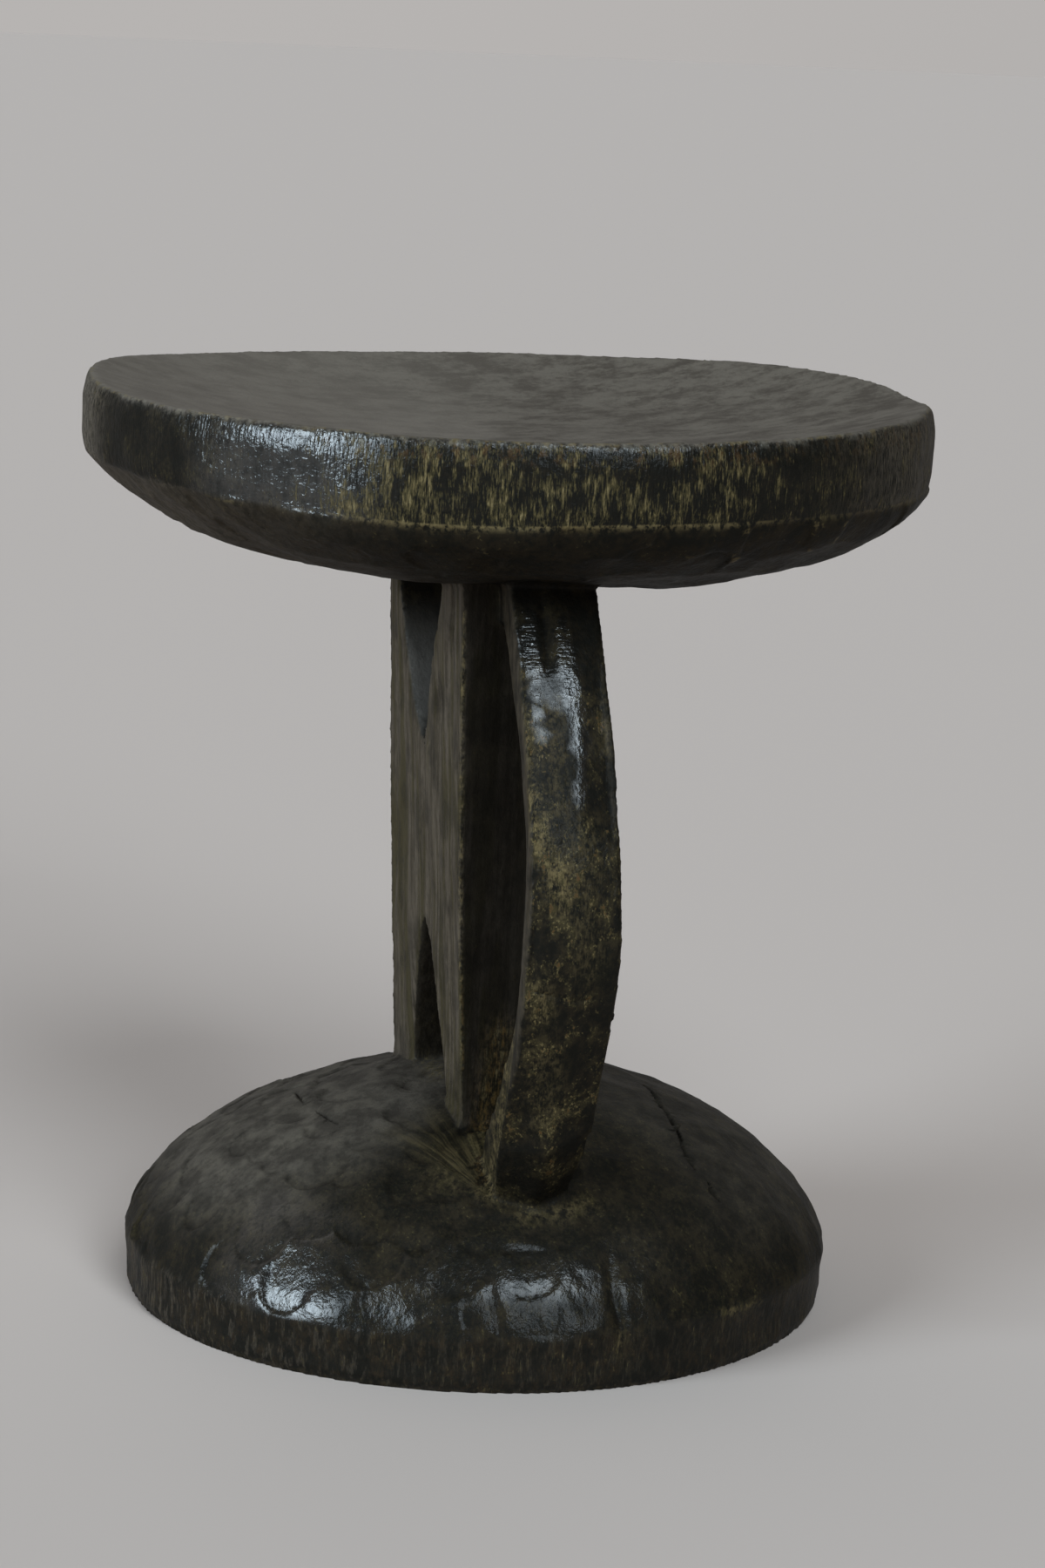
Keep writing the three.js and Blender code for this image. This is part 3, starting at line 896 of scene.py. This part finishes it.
Socket = bpy.types.NodeSocket


def feed(socket, given):
    """Sets an input to a plain value, or links it to the socket that gives its value."""
    if isinstance(given, Socket):
        socket.id_data.links.new(given, socket)
    else:
        socket.default_value = given


def add_node(tree, kind, **settings):
    node = tree.nodes.new(kind)
    for name, value in settings.items():
        setattr(node, name, value)
    return node


def maths(operation, first, second=0):
    tree = (first if isinstance(first, Socket) else second).id_data
    node = add_node(tree, "ShaderNodeMath", operation=operation)
    feed(node.inputs[0], first)
    feed(node.inputs[1], second)
    return node.outputs[0]


def times(*values):
    return reduce(partial(maths, "MULTIPLY"), values)


def plus(*values):
    return reduce(partial(maths, "ADD"), values)


def most(*values):
    return reduce(partial(maths, "MAXIMUM"), values)


def other(share):
    return maths("SUBTRACT", 1, share)


def vector_maths(operation, place, vector):
    node = add_node(place.id_data, "ShaderNodeVectorMath", operation=operation)
    feed(node.inputs[0], place)
    node.inputs[1].default_value = vector
    return node


def split(place):
    """The place's three outputs, to be read by the name of an axis."""
    node = add_node(place.id_data, "ShaderNodeSeparateXYZ")
    feed(node.inputs[0], place)
    return node.outputs


def span(value, low, high, to_low=0, to_high=1):
    """A smooth change from to_low to to_high as the value goes from low to high."""
    node = add_node(value.id_data, "ShaderNodeMapRange", interpolation_type="SMOOTHSTEP")
    names = ("Value", "From Min", "From Max", "To Min", "To Max")
    for name, given in zip(names, (value, low, high, to_low, to_high)):
        feed(node.inputs[name], given)
    return node.outputs[0]


def noise_at(place, detail, roughness, distortion=0):
    node = add_node(place.id_data, "ShaderNodeTexNoise")
    feed(node.inputs["Vector"], place)
    node.inputs["Scale"].default_value = 1.0
    node.inputs["Detail"].default_value = detail
    node.inputs["Roughness"].default_value = roughness
    node.inputs["Distortion"].default_value = distortion
    return node.outputs["Fac"]


def blend(share, first, second):
    """The first colour turning into the second as the share grows; each a socket or plain."""
    node = add_node(share.id_data, "ShaderNodeMix", data_type="RGBA")
    feed(node.inputs[0], share)
    for socket, colour in ((node.inputs[6], first), (node.inputs[7], second)):
        feed(socket, colour if isinstance(colour, Socket) else (*colour, 1))
    return node.outputs[2]


def paint(colour, *layers):
    """Lays colours over one another; each layer is a share and the colour laid over."""
    for share, over in layers:
        colour = blend(share, colour, over)
    return colour


# Camera, lights and floor

LEG_TURN = 16.0
CAMERA_PITCH = 10.96
CAMERA_ROLL = 2.47
CAMERA_SIDE = 10.5
CAMERA_BACK = 1406.6
CAMERA_HEIGHT = 460.7
CAMERA_LENS = 90.0
# Each light: degrees to the viewer's right, degrees up, its spread, its strength and its colour
LIGHTS = {
    "window": (-54, 20, 32, 3, (0.74, 0.89, 1)),
    "overhead": (24, 44, 32, 1.6, (0.78, 0.91, 1)),
    "low_front": (27, 23, 17, 1, (0.78, 0.91, 1)),
}
# Towards the pale wall, as right, away and up from the viewer
BRIGHT_SIDE = (-0.35, 1, 0.4)
BRIGHT_ROOM = (0.475, 0.458, 0.447)
DIM_ROOM = (0.05, 0.05, 0.05)
# How far the camera sees and how far the floor reaches, in metres
CAMERA_SEES_TO = 200.0
FLOOR_RADIUS = 60.0
FLOOR_COLOUR = (0.56, 0.478, 0.432, 1)
FLOOR_ROUGHNESS = 0.75


def from_view(right, away, up):
    """Turns a place given from the viewer's side into the stool's own frame."""
    turn = radians(LEG_TURN)
    return Vector((
        right * sin(turn) - away * cos(turn),
        right * cos(turn) + away * sin(turn),
        up,
    ))


def make_camera():
    pitch = radians(CAMERA_PITCH)
    roll = radians(CAMERA_ROLL)
    level_right = from_view(1, 0, 0)
    level_up = from_view(0, sin(pitch), cos(pitch))
    right = cos(roll) * level_right + sin(roll) * level_up
    up = cos(roll) * level_up - sin(roll) * level_right
    camera = add_object("camera", bpy.data.cameras.new("camera"))
    camera.data.lens = CAMERA_LENS
    camera.data.clip_end = CAMERA_SEES_TO
    camera.matrix_world = Matrix.LocRotScale(
        from_view(CAMERA_SIDE, -CAMERA_BACK, CAMERA_HEIGHT) * MM,
        Matrix((right, up, right.cross(up))).transposed().to_quaternion(),
        None,
    )
    bpy.context.scene.camera = camera


def add_light(name, azimuth, elevation, spread, strength, colour):
    data = bpy.data.lights.new(name, "SUN")
    data.angle = radians(spread)
    data.energy = strength
    data.color = colour
    turn, rise = radians(azimuth), radians(elevation)
    level = cos(rise)
    away = from_view(sin(turn) * level, -cos(turn) * level, sin(rise))
    add_object(name, data).rotation_euler = away.to_track_quat("Z", "Y").to_euler()


def make_room():
    """The light that the room itself sends back, brighter from the side of the pale wall."""
    world = bpy.data.worlds.new("soft_room")
    bpy.context.scene.world = world
    world.use_nodes = True
    direction = add_node(world.node_tree, "ShaderNodeTexCoord").outputs["Generated"]
    bright_side = from_view(*BRIGHT_SIDE).normalized()
    towards = vector_maths("DOT_PRODUCT", direction, bright_side).outputs["Value"]
    background = world.node_tree.nodes["Background"]
    feed(background.inputs["Color"], blend(span(towards, 0.1, 0.95), DIM_ROOM, BRIGHT_ROOM))


def new_material(name):
    """A material and its shader."""
    material = bpy.data.materials.new(name)
    material.use_nodes = True
    return material, material.node_tree.nodes["Principled BSDF"]


def make_floor():
    bpy.ops.mesh.primitive_circle_add(vertices=96, radius=FLOOR_RADIUS, fill_type="NGON")
    floor = bpy.context.object
    floor.name = "floor"
    material, shader = new_material("floor")
    shader.inputs["Base Color"].default_value = FLOOR_COLOUR
    shader.inputs["Roughness"].default_value = FLOOR_ROUGHNESS
    floor.data.materials.append(material)


# The wood

# Linear colours of the wood, from blackest polish to bare fibre
BLACK = (0.006, 0.0054, 0.0038)
DARK_BROWN = (0.0135, 0.01, 0.0058)
OLIVE = (0.044, 0.035, 0.015)
GREY_BROWN = (0.049, 0.038, 0.026)
PALE_GREY = (0.1, 0.079, 0.058)
RUST = (0.07, 0.037, 0.014)
TAN = (0.138, 0.103, 0.047)
BARE_FIBRE = (0.22, 0.175, 0.088)
DOME_BROWN = (0.049, 0.041, 0.033)
DOME_GREY = (0.096, 0.082, 0.066)
DISH_BROWN = (0.058, 0.047, 0.037)
DISH_GREY = (0.115, 0.097, 0.078)
# Pale grey laid where the wood is greyed: partly dust, partly a painted grazing sheen
DUST_AND_SHEEN_GREY = (0.19, 0.163, 0.134)
# Pale grey for the rim, partly worn wood and partly a painted highlight
RIM_GREY_AND_HIGHLIGHT = (0.26, 0.235, 0.19)
GOLDEN_RUST = (0.095, 0.052, 0.014)
# Grey for a painted sheen of reflected light in the upper notch's end
NOTCH_SHEEN_GREY = (0.092, 0.084, 0.074)
# Near black for painted shade, also laid into the cracks
PAINTED_SHADE_BLACK = (0.0035, 0.0028, 0.0019)
# The waxed polish, as a clear coat over wood that has little gloss of its own
WOOD_IOR = 1.15
POLISH_IOR = 1.62
POLISH_ROUGHNESS = 0.18
# How softly the streaks on the upright edges begin
STREAK_RISE = 0.03
# How finely the fibres of the fan are drawn over its turn and over distance from its meeting
FAN_FIBRES = (14, 30)
# Noises in the solid wood, whose grain runs up and down: how wide along x, y and z, then how
# many finer layers, how strong those are, and how much the noise is pushed about
WOOD_NOISES = {
    "fibre": ((0.55, 0.55, 4), 5, 0.7),
    "long_grain": ((2.6, 2.6, 46), 5, 0.66),
    "stripe": ((8, 8, 120), 4, 0.6, 0.4),
    "bundle": ((2, 2, 8), 3, 0.6),
    "lump": ((3.2, 3.2, 5.5), 4, 0.65),
    "patch": ((11, 11, 13), 4, 0.62),
    "mottle": ((2.4, 2.4, 3), 4, 0.7),
    "speck": ((1.1, 1.1, 1.5), 4, 0.72),
    "grime": ((30, 30, 34), 3, 0.55),
    "crumple": ((2.3, 2.3, 1.8), 2, 0.5, 0.8),
    "strand": ((1, 1, 8), 1, 0.5),
    "ripple": ((5, 5, 1), 2, 0.5, 0.3),
    "sweep": ((9, 16, 9), 6, 0.68),
}


def wood_noise(place, size, *look):
    stretch = [1.0 / (MM * length) for length in size]
    return noise_at(vector_maths("MULTIPLY", place, stretch).outputs[0], *look)


def fan_noise(place):
    """Fine fibres that run together where the flares meet, as noise over turn and distance."""
    meeting = (FLARES_MEET[0] * MM, FLARES_MEET[1] * MM, 0)
    away = split(vector_maths("SUBTRACT", place, meeting).outputs[0])
    x, y = away["X"], away["Y"]
    turn = maths("ARCTAN2", y, times(x, -1))
    distance = maths("SQRT", plus(times(x, x), times(y, y)))
    polar = add_node(place.id_data, "ShaderNodeCombineXYZ")
    feed(polar.inputs["X"], times(turn, FAN_FIBRES[0]))
    feed(polar.inputs["Y"], times(distance, FAN_FIBRES[1]))
    return noise_at(polar.outputs[0], 4, 0.65)


def mixed(wood, **shares):
    """A sum of the wood's noises, each by its own share."""
    return plus(*(times(getattr(wood, name), share) for name, share in shares.items()))


def dark_wood(at, wood):
    """Blackened wood, browner and more olive in broad patches."""
    brown = span(mixed(wood, mottle=0.5, patch=0.5), 0.42, 0.6)
    olive = times(span(wood.patch, 0.5, 0.64), span(wood.mottle, 0.38, 0.56), 0.3)
    dull_side = times(at.dome, other(at.greyed), 0.6)
    olive = times(olive, other(at.bowl), other(at.foot_band), other(dull_side))
    return blend(olive, blend(brown, BLACK, DARK_BROWN), OLIVE)


def add_flecks(colour, at, wood):
    """Olive, tan and rusty flecks all over, thickest on the bar's front."""
    fleck = mixed(wood, speck=0.5, lump=0.3, patch=0.2)
    bar_patches = times(at.bar_front, span(wood.patch, 0.38, 0.6, 0, 0.55))
    flecked = plus(
        0.4,
        # Flecks on the bar's front stop short of its top, keeping it dark: black polished wood, and
        # painted shade under the seat
        times(bar_patches, span(at.height, 0.262, 0.235)),
        times(at.bar_front, span(at.height, 0.24, 0.262), -0.5),
        times(at.worn, 0.4),
        times(at.bowl, -0.2),
        times(at.polish, -0.15),
        times(at.dome, -0.15),
        times(at.foot_band, -0.2),
    )
    olive_from = plus(0.6, times(flecked, -0.075))
    tan_from = plus(0.65, times(flecked, -0.085))
    fleck_colour = blend(span(wood.lump, 0.54, 0.62), TAN, RUST)
    olive_share = span(fleck, olive_from, plus(olive_from, 0.035), 0, 0.85)
    tan_share = span(fleck, tan_from, plus(tan_from, 0.03), 0, 0.9)
    return paint(colour, (olive_share, OLIVE), (tan_share, fleck_colour))


def add_dust(colour, at, wood):
    dust = span(mixed(wood, speck=0.6, lump=0.4), 0.5, 0.62)
    return blend(times(at.dome, dust, 0.22, other(at.greyed)), colour, OLIVE)


def find_dry(at, wood):
    patch, height, greyed = wood.patch, at.height, at.greyed
    bar_side = times(span(patch, 0.35, 0.6, 0.15, 0.5), span(height, 0.1, 0.14, 0.3, 1))
    foot_streaks = span(wood.bundle, 0.5, 0.62)
    return plus(
        times(at.panel, span(patch, 0.34, 0.56, 0.55, 0.92)),
        times(at.bar_side, bar_side),
        # The greyed share here paints dust and a painted sheen
        times(at.bowl, greyed, 0.5),
        times(at.dome, plus(0.03, times(greyed, 0.7)), span(height, 0.026, 0.052)),
        times(at.band, greyed, span(wood.fibre, 0.42, 0.56, 0.45, 1)),
        times(at.foot_band, foot_streaks, plus(0.14, times(greyed, 0.35))),
        times(at.underside, 0.9),
        times(at.notch, span(height, 0.16, 0.13), 0.35),
    )


def add_dry_faces(colour, dry, at, wood):
    grain = span(mixed(wood, long_grain=0.75, fibre=0.25), 0.42, 0.6)
    skin = span(mixed(wood, patch=0.6, sweep=0.4), 0.4, 0.6)
    dry_colour = paint(
        blend(grain, GREY_BROWN, PALE_GREY),
        (at.dome, blend(skin, DOME_BROWN, DOME_GREY)),
        (times(at.panel, span(wood.stripe, 0.46, 0.58), 0.8), OLIVE),
        # Dust and a painted sheen on the seat's edge, on its greyed side
        (times(at.band, at.greyed, 0.4), DUST_AND_SHEEN_GREY),
    )
    return blend(times(dry, span(wood.mottle, 0.3, 0.55, 0.7, 1)), colour, dry_colour)


def add_dish(colour, at, wood):
    strokes = span(mixed(wood, sweep=0.5, mottle=0.3, grime=0.2), 0.41, 0.57)
    dish_colour = paint(
        blend(strokes, DISH_BROWN, DISH_GREY),
        (times(span(wood.speck, 0.58, 0.66), 0.4), GREY_BROWN),
        # Dust and a painted sheen on the dish, on its greyed side
        (times(at.greyed, 0.4), DUST_AND_SHEEN_GREY),
    )
    return blend(times(at.dish, 0.95), colour, dish_colour)


def add_streaks(colour, at, wood):
    """Where fibres show through the polish on the upright edges, and the colour with them."""
    streak = mixed(wood, fibre=0.5, bundle=0.32, patch=0.18)
    low_down = span(at.seat_share, 0.6, 0.1)
    bared = plus(span(wood.patch, 0.4, 0.55, 0.3, 0.75), times(low_down, 0.4))
    bared = times(at.band, plus(0.16, times(at.handled, bared)))
    bared = maths("MINIMUM", plus(bared, times(at.foot_band, 0.25)), 1)
    upright = plus(at.band, times(at.foot_band, 0.7))

    def streaks_above(start, drop):
        low = plus(start, times(bared, -drop))
        return times(span(streak, low, plus(low, STREAK_RISE)), upright)

    shown = streaks_above(0.6, 0.12)
    rusty = times(at.band, span(at.seat_share, 0.55, 0.85), at.handled)
    rusty = plus(rusty, times(at.foot_band, 0.12))
    rusty = times(rusty, span(wood.lump, 0.5, 0.6), span(wood.patch, 0.4, 0.5))
    return shown, paint(
        colour,
        (times(upright, span(wood.fibre, 0.52, 0.42), 0.92), BLACK),
        (times(shown, 0.85), OLIVE),
        (times(rusty, 0.7), RUST),
        (times(streaks_above(0.64, 0.105), 0.65), TAN),
        (times(streaks_above(0.69, 0.105), bared, 0.6), BARE_FIBRE),
    )


def find_rubbed(at, wood):
    """Where the worn places are rubbed through, broken up along the grain."""
    dome_grit = mixed(wood, lump=0.5, mottle=0.5)
    grit = mixed(wood, fibre=0.5, mottle=0.5)
    grit = plus(times(grit, other(at.dome)), times(dome_grit, at.dome))
    return times(at.worn, span(grit, 0.42, 0.6))


def add_rubbed(colour, rubbed, at, wood):
    """Tan and olive where the wood is rubbed, and golden low in the gap behind the bar."""
    golden = times(at.gap, span(wood.bundle, 0.4, 0.52), span(at.height, 0.14, 0.115))
    rubbed_colour = blend(span(wood.lump, 0.44, 0.58), TAN, OLIVE)
    rubbed_colour = blend(times(golden, 0.85), rubbed_colour, GOLDEN_RUST)
    return blend(rubbed, colour, rubbed_colour)


def add_edge_wear(colour, at, wood):
    """Tan on sharp edges and along the seat's lower edge, and a pale rim, partly worn wood and
    partly a painted highlight.
    """
    edge = times(span(at.edge, 0.4, 0.85), span(wood.lump, 0.46, 0.58), 0.5)
    seat_line = times(at.band, at.handled, span(at.seat_share, 0.035, 0.012))
    seat_line = times(seat_line, span(wood.mottle, 0.42, 0.56), 0.8)
    # The pale rim: worn wood with a painted highlight
    rim = times(at.rim, span(wood.mottle, 0.42, 0.6), 0.22)
    return paint(colour, (most(edge, seat_line), TAN), (rim, RIM_GREY_AND_HIGHLIGHT))


def add_painted_shade_and_sheen(colour, cleaned, at, wood):
    """Painted shade in the hollows, the gap, the notches and at the bar's ends, darker cracks, and a
    painted sheen in the upper notch's end.
    """
    height = at.height
    # Painted shade at the bar's foot and at its top under the seat
    bar_ends = plus(span(height, 0.084, 0.064, 0, 0.62), span(height, 0.259, 0.268, 0, 0.42))
    # Painted shade in the hollows and creases, the gap behind the bar and the notches; the cracks
    # and the panel's groove are darkened too
    darkened = most(
        times(at.hollow, 0.7),
        at.crack,
        times(at.gap, 0.74),
        times(at.notch, 0.4),
        times(at.bar_front, bar_ends),
    )
    # A painted sheen of reflected light, as grey, on the lower part of the upper notch's end
    notch_sheen = times(at.notch, span(height, 0.257, 0.23), span(height, 0.2, 0.212))
    notch_sheen = times(notch_sheen, span(wood.patch, 0.3, 0.55, 0.6, 1))
    darkened = times(darkened, *(other(share) for share in cleaned))
    return paint(colour, (darkened, PAINTED_SHADE_BLACK), (notch_sheen, NOTCH_SHEEN_GREY))


def find_shine(shown, rubbed, at, wood):
    """Polish from hands and feet, dulled where the skin of the wood is broken."""
    return times(
        at.polish,
        span(wood.patch, 0.32, 0.5, 0.65, 1),
        span(wood.mottle, 0.34, 0.5, 0.65, 1),
        other(times(shown, 0.6)),
        other(times(at.crack, 0.8)),
        other(times(rubbed, 0.7)),
        other(at.hollow),
    )


def find_relief(shown, at, wood):
    """How high the fine relief stands, in millimetres."""
    band, bar_front = at.band, at.bar_front
    along_grain = plus(times(band, 0.3), times(at.foot_band, 0.22), times(bar_front, 0.08))
    top_of_bar = span(at.height, 0.225, 0.245)
    return plus(
        times(wood.crumple, plus(0.17, times(band, 0.1))),
        times(wood.mottle, 0.06),
        times(wood.lump, other(at.dish), 0.3),
        times(wood.strand, along_grain),
        times(wood.ripple, bar_front, at.polish, top_of_bar, 0.3),
        times(wood.long_grain, at.panel, 0.16),
        times(wood.sweep, at.dish, 0.3),
        times(shown, -0.04),
    )


def finish_surface(shader, dry, relief, shine, wood):
    rough = span(wood.mottle, 0.3, 0.7, 0.56, 0.68)
    feed(shader.inputs["Roughness"], plus(rough, times(dry, 0.1)))
    shader.inputs["IOR"].default_value = WOOD_IOR
    feed(shader.inputs["Coat Weight"], shine)
    shader.inputs["Coat Roughness"].default_value = POLISH_ROUGHNESS
    shader.inputs["Coat IOR"].default_value = POLISH_IOR
    bump = add_node(shader.id_data, "ShaderNodeBump")
    bump.inputs["Distance"].default_value = MM
    feed(bump.inputs["Height"], relief)
    feed(shader.inputs["Normal"], bump.outputs["Normal"])
    feed(shader.inputs["Coat Normal"], bump.outputs["Normal"])


def make_wood(marks):
    """The stool's one material; marks are the names of the numbers stored on its mesh."""
    material, shader = new_material("old_wood")
    tree = material.node_tree
    place = add_node(tree, "ShaderNodeTexCoord").outputs["Object"]
    at = SimpleNamespace(height=split(place)["Z"])
    for name in marks:
        mark = add_node(tree, "ShaderNodeAttribute", attribute_name=name).outputs["Fac"]
        setattr(at, name, mark)
    at.panel = span(at.panel, 0.3, 0.7)
    at.gap = span(at.gap, 0.3, 0.7)
    wood = SimpleNamespace(**{name: wood_noise(place, *look) for name, look in WOOD_NOISES.items()})
    dry = find_dry(at, wood)
    rubbed = find_rubbed(at, wood)
    fan = fan_noise(place)
    flare = times(at.flare, span(fan, 0.36, 0.6, 0.25, 1))

    colour = add_dust(add_flecks(dark_wood(at, wood), at, wood), at, wood)
    colour = add_dish(add_dry_faces(colour, dry, at, wood), at, wood)
    shown, colour = add_streaks(colour, at, wood)
    colour = add_rubbed(colour, rubbed, at, wood)
    colour = blend(times(flare, 0.8), colour, blend(span(fan, 0.44, 0.6), OLIVE, TAN))
    colour = add_edge_wear(colour, at, wood)
    colour = add_painted_shade_and_sheen(colour, (rubbed, flare), at, wood)

    feed(shader.inputs["Base Color"], colour)
    shine = find_shine(shown, rubbed, at, wood)
    finish_surface(shader, dry, find_relief(shown, at, wood), shine, wood)
    return material


bpy.context.scene.view_settings.view_transform = "Standard"
stool = make_stool()
marks = mark_surfaces(stool)
stool.data.materials.append(make_wood(marks))
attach(stool, "root")
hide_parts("stool")
make_floor()
for name, settings in LIGHTS.items():
    add_light(name, *settings)
make_room()
make_camera()
